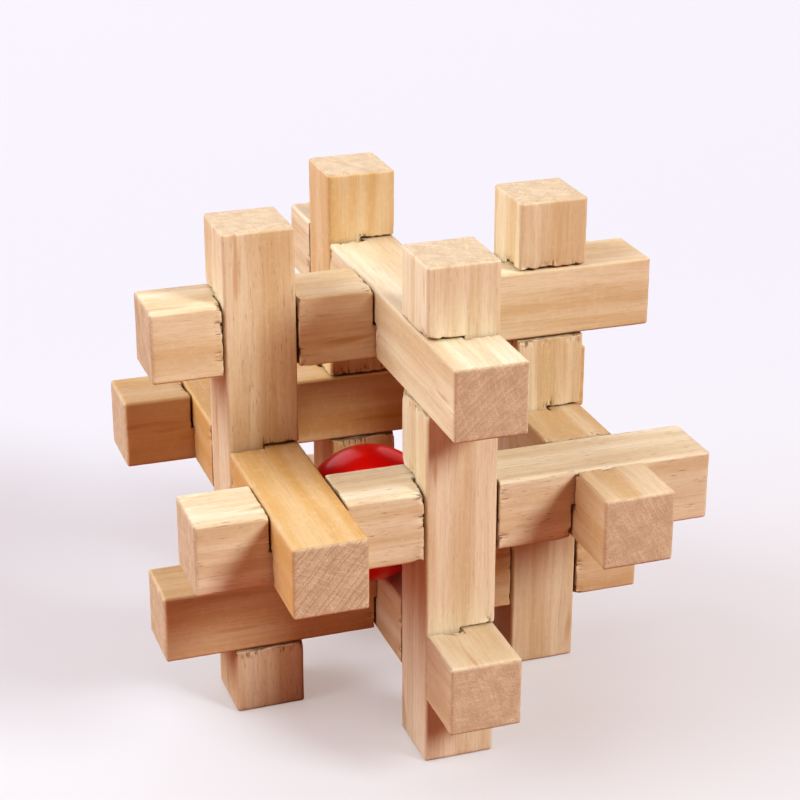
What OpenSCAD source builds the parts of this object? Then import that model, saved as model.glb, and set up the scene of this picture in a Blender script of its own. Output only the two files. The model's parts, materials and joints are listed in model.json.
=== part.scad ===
// Twelve-bar burr puzzle with a captive ball.
// Four bars run along each axis, and every bar is half-lapped with three others,
// so that the bars make three crossed frames, a cage, around a loose ball.
// The origin is on the table, under the centre of the cage. +X is right, -Y is the front.

/* [Bars] */
// Width of a bar's square section, mm
bar_w = 12.5; // [12:0.5:13]
// Length of each bar, mm
bar_len = 90; // [86:1:100]
// Distance from the centre of the cage to each bar's centre line, mm
pitch = 26.25; // [26:0.25:27.5]
// Width of the small chamfer that eases every edge of a bar, mm
edge_break = 0.4; // [0.2:0.1:0.6]

/* [Fit] */
// Gap on each side of a bar in the notch that it lies in, mm
side_gap = 0.3; // [0.1:0.05:0.4]
// Gap between the two halves of a crossing, mm
face_gap = 0.2; // [0.1:0.05:0.4]

/* [Ball] */
// Diameter of the captive ball, mm
ball_d = 24; // [23:0.5:25]
// Gap between the resting ball and the bar edges around it, mm
ball_gap = 0.1; // [0.05:0.05:0.2]

/* [Hidden] */
$fn = 96;

// Unit vectors, which name bar axes and the half that a bar keeps at a crossing
LEFT = [-1, 0, 0];
RIGHT = [1, 0, 0];
FRONT = [0, -1, 0];
BACK = [0, 1, 0];
DOWN = [0, 0, -1];
UP = [0, 0, 1];

post_wood = "BurlyWood";
rail_wood = "NavajoWhite";
beam_wood = "Wheat";
ball_red = "Crimson";

cage_centre = [0, 0, bar_len / 2];
notch_w = bar_w + 2 * side_gap;
// How far a cutting block reaches past the wood that it cuts
overcut = 1;

// Distance from the cage's centre, along each axis, at which the ball touches
// the six bar edges around one corner of the cage
ball_touch_r = ball_d / 2 + ball_gap;
ball_seat = (pitch - sqrt(2 * pow(ball_touch_r, 2) - pow(pitch - bar_w, 2))) / 2;

function absolute(v) = [for (part = v) abs(part)];

// The two directions across a bar that runs along the unit vector "along"
function across(along) = [1, 1, 1] - absolute(along);

// An outline for a side of a bar, with its corners cut off at 45 degrees
module eased_rectangle(size) {
    x = size.x / 2;
    y = size.y / 2;
    e = edge_break;
    polygon([
        [x - e, -y], [x, e - y], [x, y - e], [x - e, y],
        [e - x, y], [-x, y - e], [-x, e - y], [e - x, -y]
    ]);
}

// A bar before its notches are cut, with every edge eased
module blank(size) {
    intersection() {
        linear_extrude(size.z, center = true)
            eased_rectangle([size.x, size.y]);
        rotate(90 * RIGHT)
            linear_extrude(size.y, center = true)
                eased_rectangle([size.x, size.z]);
        rotate(-90 * BACK)
            linear_extrude(size.x, center = true)
                eased_rectangle([size.z, size.y]);
    }
}

// What one notch takes away from a bar: the half that faces away from "keep". "side" is
// the other direction across the bar. A relieved notch also loses the corner between
// the two, so that it doesn't catch on the crossing bar as the whole bar draws out
// along keep + side. The side gap is its clearance.
module notch(keep, side, relieved) {
    along = cross(side, keep);
    far = bar_w / 2 + overcut;
    floor_y = face_gap / 2;
    corner = relieved ? [[far, far], [floor_y, floor_y]] : [[far, floor_y]];
    multmatrix([
        [side.x, keep.x, along.x, 0],
        [side.y, keep.y, along.y, 0],
        [side.z, keep.z, along.z, 0],
        [0, 0, 0, 1]
    ])
        linear_extrude(notch_w, center = true)
            polygon(concat([[-far, floor_y], [-far, -far], [far, -far]], corner));
}

// One square bar. "along" is its axis, "seat" the side of the cage that it lies on, and
// "keeps" the half that it keeps at its low, middle and high crossing. A bar that draws
// out diagonally also has an escape direction.
module bar(along, seat, keeps, escape = [0, 0, 0]) {
    draws_out = norm(escape) > 0;
    translate(cage_centre + seat * pitch)
        difference() {
            blank(along * bar_len + across(along) * bar_w);
            for (i = [0:2]) {
                keep = keeps[i];
                side = draws_out ? escape - keep : across(along) - absolute(keep);
                translate(along * (i - 1) * pitch)
                    notch(keep, side, draws_out);
            }
        }
}

// Upright bars
module front_post() {
    color(post_wood) bar(UP, FRONT, [LEFT, FRONT, RIGHT]);
}

module back_post() {
    color(post_wood) bar(UP, BACK, [LEFT, BACK, LEFT], escape = LEFT + BACK);
}

module left_post() {
    color(post_wood) bar(UP, LEFT, [BACK, LEFT, FRONT]);
}

module right_post() {
    color(post_wood) bar(UP, RIGHT, [FRONT, LEFT, BACK]);
}

// Bars that run from left to right
module front_rail() {
    color(rail_wood) bar(RIGHT, FRONT, [DOWN, BACK, UP]);
}

module back_rail() {
    color(rail_wood) bar(RIGHT, BACK, [DOWN, FRONT, UP]);
}

module top_rail() {
    color(rail_wood) bar(RIGHT, UP, [BACK, DOWN, FRONT]);
}

module bottom_rail() {
    color(rail_wood) bar(RIGHT, DOWN, [FRONT, UP, BACK]);
}

// Bars that run from front to back
module left_beam() {
    color(beam_wood) bar(BACK, LEFT, [UP, RIGHT, UP]);
}

module right_beam() {
    color(beam_wood) bar(BACK, RIGHT, [DOWN, RIGHT, DOWN], escape = RIGHT + DOWN);
}

module top_beam() {
    color(beam_wood) bar(BACK, UP, [LEFT, UP, RIGHT]);
}

module bottom_beam() {
    color(beam_wood) bar(BACK, DOWN, [RIGHT, DOWN, RIGHT]);
}

// The ball, lying in the lower front left corner of the cage
module captive_ball() {
    color(ball_red)
        translate(cage_centre + ball_seat * (LEFT + FRONT + DOWN))
            sphere(d = ball_d);
}

front_post();
back_post();
left_post();
right_post();
front_rail();
back_rail();
top_rail();
bottom_rail();
left_beam();
right_beam();
top_beam();
bottom_beam();
captive_ball();
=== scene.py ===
"""The looks of the burr puzzle: wooden bars, a glossy ball, a pale floor and soft studio light.

Every bar is rebuilt from its CAD node in its own grain frame (X along the wood), with worn
edges and torn notch rims, and has its own cut of the same procedural wood.
"""
import json
import math
import random

import bmesh
import bpy
from mathutils import Matrix, Vector, kdtree, noise


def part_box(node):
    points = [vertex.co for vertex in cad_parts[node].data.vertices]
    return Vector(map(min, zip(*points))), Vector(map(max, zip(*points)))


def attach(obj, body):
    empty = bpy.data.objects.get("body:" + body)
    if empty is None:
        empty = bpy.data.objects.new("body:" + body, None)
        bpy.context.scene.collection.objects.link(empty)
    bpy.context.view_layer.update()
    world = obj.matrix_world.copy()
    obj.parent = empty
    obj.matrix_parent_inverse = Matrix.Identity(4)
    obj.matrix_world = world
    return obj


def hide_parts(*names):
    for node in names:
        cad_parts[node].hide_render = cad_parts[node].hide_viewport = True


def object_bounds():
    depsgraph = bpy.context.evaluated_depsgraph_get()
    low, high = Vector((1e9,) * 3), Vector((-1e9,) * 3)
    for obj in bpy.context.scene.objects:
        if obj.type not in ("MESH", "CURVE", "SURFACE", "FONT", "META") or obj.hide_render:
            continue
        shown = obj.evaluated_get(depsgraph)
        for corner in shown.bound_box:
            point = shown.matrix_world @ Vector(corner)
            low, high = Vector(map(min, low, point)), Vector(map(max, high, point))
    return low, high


MM = 0.001

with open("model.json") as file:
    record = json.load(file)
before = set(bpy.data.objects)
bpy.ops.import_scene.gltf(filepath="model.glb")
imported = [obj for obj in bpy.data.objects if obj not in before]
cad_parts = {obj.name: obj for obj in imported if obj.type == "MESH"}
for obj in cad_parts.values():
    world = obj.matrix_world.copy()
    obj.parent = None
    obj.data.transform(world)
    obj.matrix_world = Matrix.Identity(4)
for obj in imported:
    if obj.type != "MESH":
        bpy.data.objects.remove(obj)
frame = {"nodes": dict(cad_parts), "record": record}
cad_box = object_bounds()
scene = bpy.context.scene

BARS = [name for name in sorted(frame["nodes"]) if name != "captive_ball"]
BODY_OF = {
    node: body
    for body, members in frame["record"]["behaviour"]["bodies"].items()
    for node in members
}

# Mesh of the bars
WELD = 1e-6  # points closer than this are one point
FLAT_ANGLE = math.radians(1)  # faces that turn less than this are one face
SHARP_ANGLE = math.radians(20)  # edges that turn more than this are rounded
EDGE_ROUND = 0.22 * MM  # how far the rounding of a sharp edge reaches
SLICE = 1.5 * MM  # spacing of the mesh lines along a bar
RIM_STEP = 0.45 * MM  # spacing of the mesh lines across a bar
WALL_STEPS = [-0.9 * MM, -0.45 * MM, 0.45 * MM, 0.9 * MM]  # more mesh lines beside a notch wall

# Wear on the bars. A scale is how fast the noise changes per mm, as a pair along and across the
# grain where it is drawn out.
WAVE = 0.04 * MM  # hand-sanded unevenness of the faces
WAVE_SCALE = (0.06, 0.22)
NICK = 0.03 * MM  # small dents
NICK_SCALE = 0.8
TEAR_REACH = 1.1 * MM  # how far from a notch wall the fibres are torn all along it
TEAR_DEPTH = 0.4 * MM
TEAR_SCALE = (0.4, 1.3)
CHIP_REACH = 1.8 * MM  # how far from a notch wall the wood is chipped, here and there
CHIP_DEPTH = 0.4 * MM
CHIP_SCALE = 1.4
CHIP_EVEN = 0.7  # the share of that depth that doesn't vary
PATCH_SCALE = 0.35  # the chips come in patches
PATCH_EDGE = 5  # how fast a patch of chips sets in
PATCH_START = 0.4  # a higher number leaves fewer and smaller patches
SEED_STEP = (17.3, 5.1, 9.7)  # keeps the bars apart in the noise


# ---------------------------------------------------------------- node helpers
class Graph:
    """A material's node tree, with short calls for the nodes that are used again and again."""

    def __init__(self, name):
        self.material = bpy.data.materials.new(name)
        self.material.use_nodes = True
        self.tree = self.material.node_tree
        self.tree.nodes.clear()

    def node(self, kind, **settings):
        made = self.tree.nodes.new("ShaderNode" + kind)
        for key, value in settings.items():
            setattr(made, key, value)
        return made

    def feed(self, socket, value):
        """Links a socket or sets a plain value."""
        if isinstance(value, bpy.types.NodeSocket):
            self.tree.links.new(value, socket)
        else:
            socket.default_value = value

    def math(self, operation, a, b=0.0):
        made = self.node("Math", operation=operation)
        self.feed(made.inputs[0], a)
        self.feed(made.inputs[1], b)
        return made.outputs[0]

    def vector(self, operation, a, b=(0, 0, 0)):
        made = self.node("VectorMath", operation=operation)
        self.feed(made.inputs[0], a)
        self.feed(made.inputs[1], b)
        return made.outputs["Value" if operation in ("LENGTH", "DOT_PRODUCT") else "Vector"]

    def noise(self, at, scale, detail, rough=0.5):
        made = self.node("TexNoise")
        self.feed(made.inputs["Vector"], at)
        made.inputs["Scale"].default_value = scale
        made.inputs["Detail"].default_value = detail
        made.inputs["Roughness"].default_value = rough
        return made.outputs["Fac"]

    def grain(self, at, along, across, detail, rough=0.5):
        """Noise drawn out along X. along and across are its scales on the two, per mm."""
        return self.noise(self.vector("MULTIPLY", at, (along, across, across)), 1.0, detail, rough)

    def between(self, value, low, high, to_low=0.0, to_high=1.0):
        """Maps a range of value onto another one, held at its ends."""
        made = self.node("MapRange", interpolation_type="SMOOTHSTEP")
        self.feed(made.inputs["Value"], value)
        ends = {"From Min": low, "From Max": high, "To Min": to_low, "To Max": to_high}
        for socket, number in ends.items():
            self.feed(made.inputs[socket], number)
        return made.outputs["Result"]

    def mix(self, factor, a, b):
        made = self.node("Mix", data_type="RGBA")
        self.feed(made.inputs["Factor"], factor)
        self.feed(made.inputs["A"], a)
        self.feed(made.inputs["B"], b)
        return made.outputs["Result"]

    def tint(self, under, mask, strength, over):
        """Lays one colour over another, with this strength where the mask is 1."""
        return self.mix(self.math("MULTIPLY", mask, strength), under, over)

    def bump(self, height, strength, distance):
        made = self.node("Bump")
        made.inputs["Strength"].default_value = strength
        made.inputs["Distance"].default_value = distance
        self.feed(made.inputs["Height"], height)
        return made.outputs["Normal"]

    def surface(self, **sockets):
        """The Principled shader that ends the graph."""
        shader = self.node("BsdfPrincipled")
        out = self.node("OutputMaterial")
        self.tree.links.new(shader.outputs["BSDF"], out.inputs["Surface"])
        for name, value in sockets.items():
            self.feed(shader.inputs[name.replace("_", " ")], value)
        return self.material


def linear(red, green, blue):
    """An sRGB colour, given as 0 to 255, as Blender's linear RGBA."""
    def channel(c):
        c /= 255
        return c / 12.92 if c <= 0.04045 else ((c + 0.055) / 1.055) ** 2.4
    return (channel(red), channel(green), channel(blue), 1.0)


# ---------------------------------------------------------------- wood
PALE = linear(235, 228, 205)
WARM = linear(218, 202, 171)
# A darker yellow: the tone of some bars, and also painted shade on bars that lie in shade
HONEY_AND_SHADE = linear(208, 170, 110)
STREAK = linear(186, 155, 116)
STAIN = linear(190, 138, 76)
END_PALE = linear(226, 212, 186)
END_DARK = linear(178, 152, 120)
# Also the colour of the painted shade in the holes of chipped notch rims
PORE_AND_CHIP_SHADE = linear(124, 86, 60)

TREE_FAR = (60, 140)  # least and most distance from a bar to the tree's middle, mm
RING_WIDTH = (0.8, 1.3)  # least and most width of a growth ring, mm
RING_BEND = 1.8  # how far the rings wander along the grain, mm
RING_UNEVEN = 3.0  # how far their spacing varies, mm
NOISE_SPREAD = 400  # each bar is moved in the noise by up to this much each way, mm
ROUGH = (0.48, 0.64)  # roughness of the long faces, from pale fibres to dark ones
END_ROUGHER = 0.16  # how much rougher a sawn end is

# Each bar's cut. honey: how yellow and dark the whole bar is, partly its own tone and partly
# painted shade on bars that lie in the shade of others. rings and ends: how plain the growth rings are
# on its
# long faces and on its ends. dashes: how many short dark fibres it has. lean: the direction
# in degrees, seen on its end, in which the tree's middle lay.
CUTS = {
    "back_post": dict(honey_and_shade=0.75, rings=0.2, ends=0.3, dashes=0.1, lean=30),
    "back_rail": dict(honey_and_shade=0.9, rings=0.3, ends=0.4, dashes=0.3, lean=200),
    "bottom_beam": dict(honey_and_shade=0.2, rings=0.2, ends=0.2, dashes=0.1, lean=75),
    "bottom_rail": dict(honey_and_shade=0.7, rings=0.3, ends=0.5, dashes=0.3, lean=110),
    "front_post": dict(honey_and_shade=0.1, rings=0.4, ends=0.3, dashes=0.3, lean=65),
    "front_rail": dict(honey_and_shade=0.0, rings=0.5, ends=0.3, dashes=1.0, lean=20),
    "left_beam": dict(honey_and_shade=1.0, rings=0.3, ends=0.7, dashes=0.2, lean=-50),
    "left_post": dict(honey_and_shade=0.3, rings=0.5, ends=0.3, dashes=0.8, lean=290),
    "right_beam": dict(honey_and_shade=0.5, rings=0.2, ends=0.2, dashes=0.2, lean=160),
    "right_post": dict(honey_and_shade=0.3, rings=0.6, ends=0.4, dashes=0.2, lean=240),
    "top_beam": dict(honey_and_shade=0.1, rings=0.3, ends=0.3, dashes=0.3, lean=-40),
    "top_rail": dict(honey_and_shade=0.3, rings=0.3, ends=0.6, dashes=0.4, lean=140),
}


def growth_rings(g, local, here, cut, draw):
    """How dark the late wood of a growth ring is, 0 to 1. The tree's middle lies outside the bar."""
    lean = math.radians(cut["lean"])
    far = draw.uniform(*TREE_FAR)
    from_middle = g.vector("ADD", local, (0, far * math.cos(lean), far * math.sin(lean)))
    radius = g.vector("LENGTH", g.vector("MULTIPLY", from_middle, (0, 1, 1)))
    bend = g.grain(here, along=0.012, across=0.08, detail=2)
    radius = g.math("ADD", radius, g.math("MULTIPLY", bend, RING_BEND))
    uneven = g.noise(g.math("MULTIPLY", radius, 0.4), scale=1.0, detail=1)
    radius = g.math("ADD", radius, g.math("MULTIPLY", uneven, RING_UNEVEN))
    ring = g.math("FRACT", g.math("DIVIDE", radius, draw.uniform(*RING_WIDTH)))
    return g.math("MULTIPLY", g.between(ring, 0.30, 0.90), g.between(ring, 1.0, 0.90))


def long_face(g, here, late, fibre, cut):
    """Colour and relief of the faces that run along the grain."""
    silk = g.grain(here, along=0.9, across=9.0, detail=3, rough=0.6)
    pores = g.between(g.grain(here, along=0.45, across=4.0, detail=1), 0.64, 0.76)
    patch = g.grain(here, along=0.02, across=0.26, detail=2)
    fleck = g.between(g.grain(here, along=0.9, across=0.8, detail=3), 0.50, 0.75)
    stain = g.between(g.grain(here, along=0.045, across=0.30, detail=2), 0.66, 0.74)

    # The whole bar turns darker and more yellow by its own amount: partly its tone, partly painted shade
    pale = g.mix(0.7 * cut["honey_and_shade"], PALE, HONEY_AND_SHADE)
    color = g.mix(g.between(patch, 0.32, 0.68), pale, g.mix(cut["honey_and_shade"], WARM, HONEY_AND_SHADE))
    color = g.tint(color, late, 0.30 * cut["rings"], STREAK)
    color = g.tint(color, g.between(fibre, 0.45, 0.72), 0.28, STREAK)
    color = g.tint(color, g.between(silk, 0.35, 0.75), 0.14, STREAK)
    color = g.tint(color, fleck, 0.15, PALE)
    color = g.tint(color, stain, 0.45, STAIN)
    color = g.tint(color, pores, 0.04 + 0.34 * cut["dashes"], PORE_AND_CHIP_SHADE)

    # Chipped notch rims: short dark ticks along the grain, painted shade in the holes of the chips, and
    # pale frayed ones
    chipped = g.node("Attribute", attribute_name="chipped").outputs["Fac"]
    chipped = g.between(chipped, 0.0, 0.6)
    tick = g.grain(here, along=0.35, across=2.6, detail=2)
    # Painted shade: the dark ticks darken the chipped rims as if their holes lay in shade; the pale
    # frayed ticks are wood
    torn = g.math("MULTIPLY", chipped, g.between(tick, 0.52, 0.62))
    frayed = g.math("MULTIPLY", chipped, g.between(tick, 0.46, 0.36))
    color = g.tint(color, frayed, 0.5, PALE)
    color = g.tint(color, torn, 0.7, PORE_AND_CHIP_SHADE)

    relief = g.math("ADD", g.math("MULTIPLY", fibre, 0.45), g.math("MULTIPLY", silk, 0.35))
    relief = g.math("SUBTRACT", relief, g.math("MULTIPLY", pores, 0.5 * cut["dashes"]))
    return color, relief


def sawn_end(g, here, late, cut, draw):
    """Colour and relief of the faces across the grain: rings, open pores and fine saw marks."""
    speck = g.grain(here, along=0.6, across=5.0, detail=3, rough=0.7)
    mottle = g.grain(here, along=0.3, across=0.5, detail=3, rough=0.6)
    saw_turn = math.radians(cut["lean"]) + draw.choice((-1, 1)) * draw.uniform(1.1, 1.5)
    saw_line = g.vector("DOT_PRODUCT", here, (0, math.cos(saw_turn), math.sin(saw_turn)))
    saw_at = g.math("ADD", g.math("MULTIPLY", saw_line, 6.0), g.math("MULTIPLY", mottle, 5.0))
    saw_break = g.between(g.grain(here, along=0.3, across=0.6, detail=2), 0.42, 0.62)
    saw = g.math("MULTIPLY", g.between(g.math("SINE", saw_at), 0.0, 1.0), saw_break)

    color = g.mix(g.between(mottle, 0.3, 0.7, 0.15, 0.5), END_PALE, END_DARK)
    color = g.mix(g.between(speck, 0.45, 0.70, 0.0, 0.65), color, END_DARK)
    color = g.tint(color, late, 0.75 * cut["ends"], END_DARK)
    color = g.tint(color, saw, 0.22, END_PALE)
    color = g.mix(g.between(speck, 0.60, 0.74, 0.0, 0.30), color, PORE_AND_CHIP_SHADE)

    relief = g.math("SUBTRACT", g.math("MULTIPLY", saw, 0.3), g.math("MULTIPLY", speck, 0.8))
    return color, relief


def wood(name, seed):
    """One bar's cut of the same pale wood. The grain runs along the object's own X."""
    cut = CUTS[name]
    draw = random.Random(seed)
    g = Graph("wood_" + name)
    coords = g.node("TexCoord")
    # local is a point of the bar in mm, and here is that point moved to the bar's place in the noise
    shift = [draw.uniform(-NOISE_SPREAD, NOISE_SPREAD) for _ in range(3)]
    local = g.vector("MULTIPLY", coords.outputs["Object"], (1 / MM, 1 / MM, 1 / MM))
    here = g.vector("ADD", local, shift)

    late = growth_rings(g, local, here, cut, draw)
    fibre = g.grain(here, along=0.16, across=3.0, detail=4, rough=0.65)
    long_color, long_relief = long_face(g, here, late, fibre, cut)
    end_color, end_relief = sawn_end(g, here, late, cut, draw)

    # Object-space normals tell a sawn end, or a notch wall, from a long face
    facing = g.node("SeparateXYZ")
    g.feed(facing.inputs[0], coords.outputs["Normal"])
    is_end = g.between(g.math("ABSOLUTE", facing.outputs["X"]), 0.55, 0.85)
    relief = g.node("Mix", data_type="FLOAT")
    g.feed(relief.inputs["Factor"], is_end)
    g.feed(relief.inputs["A"], long_relief)
    g.feed(relief.inputs["B"], end_relief)
    rough = g.between(fibre, 0.2, 0.8, *ROUGH)
    rough = g.math("ADD", rough, g.math("MULTIPLY", is_end, END_ROUGHER))
    return g.surface(Base_Color=g.mix(is_end, long_color, end_color), Roughness=rough,
                     Normal=g.bump(relief.outputs["Result"], strength=0.6, distance=0.12 * MM))


# ---------------------------------------------------------------- pieces
def add_piece(name, mesh, place, material, node):
    """Makes a finished mesh the piece that stands for a CAD node and rides on its body."""
    data = bpy.data.meshes.new(name)
    mesh.to_mesh(data)
    mesh.free()
    for polygon in data.polygons:
        polygon.use_smooth = True
    data.materials.append(material)
    piece = bpy.data.objects.new(name, data)
    scene.collection.objects.link(piece)
    piece.matrix_world = place
    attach(piece, BODY_OF[node])
    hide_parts(node)


# ---------------------------------------------------------------- bars
def grain_frame(node):
    """A bar's own frame: X along its longest side, and its origin at its centre."""
    low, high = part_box(node)
    size = high - low
    along = max(range(3), key=lambda axis: size[axis])
    axes = Matrix.Identity(3)
    turned = Matrix([axes[(along + step) % 3] for step in range(3)]).transposed()
    return Matrix.Translation((low + high) / 2) @ turned.to_4x4(), size[along] / 2


def slice_mesh(mesh, axis, positions):
    """Cuts every face of the mesh where planes across one axis meet it."""
    normal = Vector((0, 0, 0))
    normal[axis] = 1
    for position in positions:
        parts = mesh.verts[:] + mesh.edges[:] + mesh.faces[:]
        bmesh.ops.bisect_plane(mesh, geom=parts, plane_co=normal * position, plane_no=normal,
                               dist=1e-7)


def places_between(low, high, step):
    """Evenly spaced places between two ends, about a step apart."""
    count = max(1, round((high - low) / step))
    return [low + (high - low) * i / count for i in range(1, count)]


def wall_faces(mesh):
    """The faces of a bar's notch walls, which stand across the grain away from its ends."""
    longest = max(v.co.x for v in mesh.verts)
    return [face for face in mesh.faces
            if abs(face.normal.x) > 0.99 and abs(face.calc_center_median().x) < longest - 1 * MM]


def drawn_out(point, along, across):
    """A point for noise, with one scale along the grain and another across it."""
    return Vector((point.x * along, point.y * across, point.z * across))


def wear(mesh, seed):
    """Moves the points of a finely cut bar: sanding waves, and torn and chipped notch rims.

    Each point also keeps how chipped it is, from 0 to 1, for the wood's colour and for the painted shade
    in the chip holes.
    """
    offset = Vector([seed * step for step in SEED_STEP])
    mesh.normal_update()
    mesh.verts.index_update()
    mesh.verts.ensure_lookup_table()
    on_walls = sorted({v.index for face in wall_faces(mesh) for v in face.verts})
    rims = kdtree.KDTree(len(on_walls))
    for index in on_walls:
        rims.insert(mesh.verts[index].co, index)
    rims.balance()
    chipped = mesh.verts.layers.float.new("chipped")
    moves = []
    for v in mesh.verts:
        p = v.co / MM + offset
        wave = noise.noise(drawn_out(p, *WAVE_SCALE))
        nick = noise.noise(p * NICK_SCALE)
        amount = WAVE * wave + NICK * nick
        distance = rims.find(v.co)[2]
        patch = min(1.0, max(0.0, PATCH_EDGE * noise.noise(p * PATCH_SCALE) - PATCH_START))
        v[chipped] = patch * max(0.0, 1 - distance / CHIP_REACH)
        amount -= CHIP_DEPTH * v[chipped] * (CHIP_EVEN + noise.noise(p * CHIP_SCALE))
        if distance < TEAR_REACH:
            torn = noise.noise(drawn_out(p, *TEAR_SCALE))
            amount -= TEAR_DEPTH * max(0.0, torn) * (1 - distance / TEAR_REACH)
        moves.append(v.normal * amount)
    for v, move in zip(mesh.verts, moves):
        v.co += move


def make_bar(node, seed):
    """Rebuilds one CAD bar with a fine mesh, rounded edges, wear and its own cut of wood."""
    place, half = grain_frame(node)
    mesh = bmesh.new()
    mesh.from_mesh(frame["nodes"][node].data)
    mesh.transform(place.inverted())
    bmesh.ops.remove_doubles(mesh, verts=mesh.verts[:], dist=WELD)
    bmesh.ops.dissolve_limit(mesh, angle_limit=FLAT_ANGLE, verts=mesh.verts[:], edges=mesh.edges[:])
    walls = sorted({round(face.calc_center_median().x, 6) for face in wall_faces(mesh)})
    sharp = [edge for edge in mesh.edges
             if len(edge.link_faces) == 2 and edge.calc_face_angle() > SHARP_ANGLE]
    bmesh.ops.bevel(mesh, geom=sharp, offset=EDGE_ROUND, segments=2, profile=0.6, affect="EDGES",
                    clamp_overlap=True)
    side = max(v.co.y for v in mesh.verts)
    near_walls = [wall + step for wall in walls for step in WALL_STEPS]
    slice_mesh(mesh, 0, places_between(-half, half, SLICE) + near_walls)
    slice_mesh(mesh, 1, places_between(-side, side, RIM_STEP))
    slice_mesh(mesh, 2, places_between(-side, side, RIM_STEP))
    wear(mesh, seed)
    add_piece(node + "_wood", mesh, place, wood(node, seed), node)


for number, bar in enumerate(BARS):
    make_bar(bar, number + 1)


# ---------------------------------------------------------------- ball
BALL_LEVEL = 6  # 1 is 20 triangles, and each level more divides every triangle in four
BALL_WAVE = 0.05 * MM  # depth of the sanding waves
BALL_WAVE_SIZE = 5 * MM
BALL_FLAT = 0.03 * MM  # depth of the flat at each pole
RED_THIN = linear(244, 14, 10)  # where the paint is thin, and where it is thick
RED_THICK = linear(222, 8, 8)


def red_paint():
    """Glossy paint, brushed on a little unevenly."""
    g = Graph("red_paint")
    coords = g.node("TexCoord")
    here = g.vector("MULTIPLY", coords.outputs["Object"], (1 / MM, 1 / MM, 1 / MM))
    ripple = g.noise(here, scale=0.35, detail=3)
    thickness = g.between(g.noise(here, scale=0.12, detail=2), 0.3, 0.7)
    return g.surface(Base_Color=g.mix(thickness, RED_THIN, RED_THICK), Roughness=0.3, Coat_Weight=0.25,
                     Normal=g.bump(ripple, strength=0.25, distance=0.1 * MM))


def make_ball():
    """A turned ball: hand-sanded all over, with a small flat at each pole where the lathe held it."""
    low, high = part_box("captive_ball")
    radius = (high.z - low.z) / 2
    mesh = bmesh.new()
    bmesh.ops.create_icosphere(mesh, subdivisions=BALL_LEVEL, radius=radius)
    for v in mesh.verts:
        wave = noise.noise(v.co / BALL_WAVE_SIZE)
        v.co *= 1 - BALL_WAVE * (0.5 + 0.5 * wave) / radius
        v.co.z = max(BALL_FLAT - radius, min(radius - BALL_FLAT, v.co.z))
    place = Matrix.Translation((low + high) / 2)
    add_piece("ball_painted", mesh, place, red_paint(), "captive_ball")


make_ball()


# ---------------------------------------------------------------- floor, light and camera
LENS = 92.5  # the camera's focal length and sensor width, mm
SENSOR = 36
LEFT_TURN = math.radians(18.94)  # how far round to the left of the front the camera stands
ELEVATION = math.radians(22.74)
DISTANCE = 366.6 * MM  # from the puzzle's centre, along the view
ASIDE = 0.36 * MM  # how far the camera stands to the right of that line, and above it
RAISED = 8.25 * MM

FLOOR_SIZE = 6  # metres
FLOOR_NEAR = linear(160, 165, 170)  # the floor as the camera sees it, in front and at the back
FLOOR_FAR = linear(156, 163, 176)
FLOOR_BACK = (-0.20, 0.25)  # where the one turns into the other, in metres behind the puzzle
FLOOR_BOUNCE = linear(160, 76, 40)  # the floor as the wood sees it
FLOOR_GLOW = linear(250, 236, 228)
FLOOR_GLOWS = (0.32, 0.29)  # how strong the glow is, in front and at the back

BRIGHT_SIDE = (-0.6, 0.9, 0.35)  # the way to the studio's pale wall
# The studio's colour from its dark side, at 0, to its bright side, at 1
STUDIO = (
    (0.0, linear(52, 22, 12)),
    (0.3, linear(124, 50, 28)),
    (0.6, linear(180, 154, 148)),
    (1.0, linear(244, 242, 252)),
)


def make_floor():
    """A plain pale floor. What it throws back at the wood is warmer, as from a wooden room."""
    bpy.ops.mesh.primitive_plane_add(size=FLOOR_SIZE, location=(0, 0, 0))
    floor = bpy.context.object
    floor.name = "floor"
    g = Graph("pale_floor")
    seen = g.node("LightPath").outputs["Is Camera Ray"]
    place = g.node("SeparateXYZ")
    g.feed(place.inputs[0], g.node("TexCoord").outputs["Object"])
    far_back = g.between(place.outputs["Y"], *FLOOR_BACK)
    pale = g.mix(far_back, FLOOR_NEAR, FLOOR_FAR)
    glow = g.math("MULTIPLY", seen, g.between(far_back, 0.0, 1.0, *FLOOR_GLOWS))
    floor.data.materials.append(g.surface(
        Base_Color=g.mix(seen, FLOOR_BOUNCE, pale), Roughness=0.7,
        Emission_Color=FLOOR_GLOW, Emission_Strength=glow))


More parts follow.
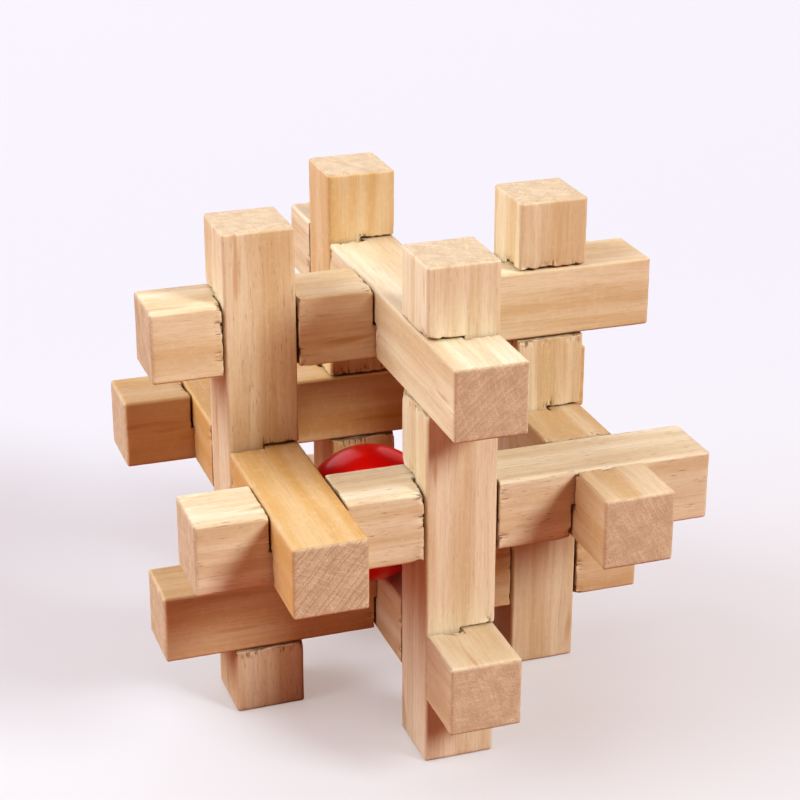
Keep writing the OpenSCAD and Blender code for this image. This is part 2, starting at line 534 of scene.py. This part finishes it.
def sun(name, comes_from, strength, softness, color):
    """A soft lamp far away. softness is how wide it looks, in degrees."""
    light = bpy.data.lights.new(name, "SUN")
    light.energy = strength
    light.angle = math.radians(softness)
    light.color = color
    lamp = bpy.data.objects.new(name, light)
    lamp.rotation_euler = Vector(comes_from).to_track_quat("Z", "Y").to_euler()
    scene.collection.objects.link(lamp)


def make_world():
    """A studio with a pale wall on the far left and dim warm wood towards the camera."""
    world = bpy.data.worlds.new("studio")
    scene.world = world
    world.use_nodes = True
    nodes, links = world.node_tree.nodes, world.node_tree.links
    toward = nodes.new("ShaderNodeTexCoord")
    side = nodes.new("ShaderNodeVectorMath")
    side.operation = "DOT_PRODUCT"
    side.inputs[1].default_value = Vector(BRIGHT_SIDE).normalized()
    place = nodes.new("ShaderNodeMapRange")
    place.inputs["From Min"].default_value = -1
    ramp = nodes.new("ShaderNodeValToRGB")
    stops = ramp.color_ramp.elements
    for position, _ in STUDIO[1:-1]:
        stops.new(position)
    for stop, (position, color) in zip(stops, STUDIO):
        stop.position = position
        stop.color = color
    links.new(toward.outputs["Generated"], side.inputs[0])
    links.new(side.outputs["Value"], place.inputs["Value"])
    links.new(place.outputs["Result"], ramp.inputs["Fac"])
    links.new(ramp.outputs["Color"], nodes["Background"].inputs["Color"])


def make_camera():
    """A camera in front, on the left and above, which looks past the puzzle's centre."""
    camera = bpy.data.cameras.new("camera")
    camera.lens = LENS
    camera.sensor_width = SENSOR
    ahead = Vector((math.sin(LEFT_TURN) * math.cos(ELEVATION), math.cos(LEFT_TURN) * math.cos(ELEVATION),
                    -math.sin(ELEVATION)))
    right = Vector((math.cos(LEFT_TURN), -math.sin(LEFT_TURN), 0))
    above = right.cross(ahead)
    centre = (cad_box[0] + cad_box[1]) / 2
    eye = bpy.data.objects.new("camera", camera)
    eye.location = centre - DISTANCE * ahead + ASIDE * right + RAISED * above
    eye.rotation_euler = ahead.to_track_quat("-Z", "Y").to_euler()
    scene.collection.objects.link(eye)
    scene.camera = eye


make_floor()
make_world()
sun("window", comes_from=(-1.0, 0.1, 0.7), strength=1.5, softness=50, color=(0.88, 0.97, 1.0))
sun("lamp", comes_from=(0.85, -1.0, 0.85), strength=2.15, softness=20, color=(0.93, 1.0, 1.0))
make_camera()
scene.view_settings.view_transform = "Standard"
scene.view_settings.look = "High Contrast"
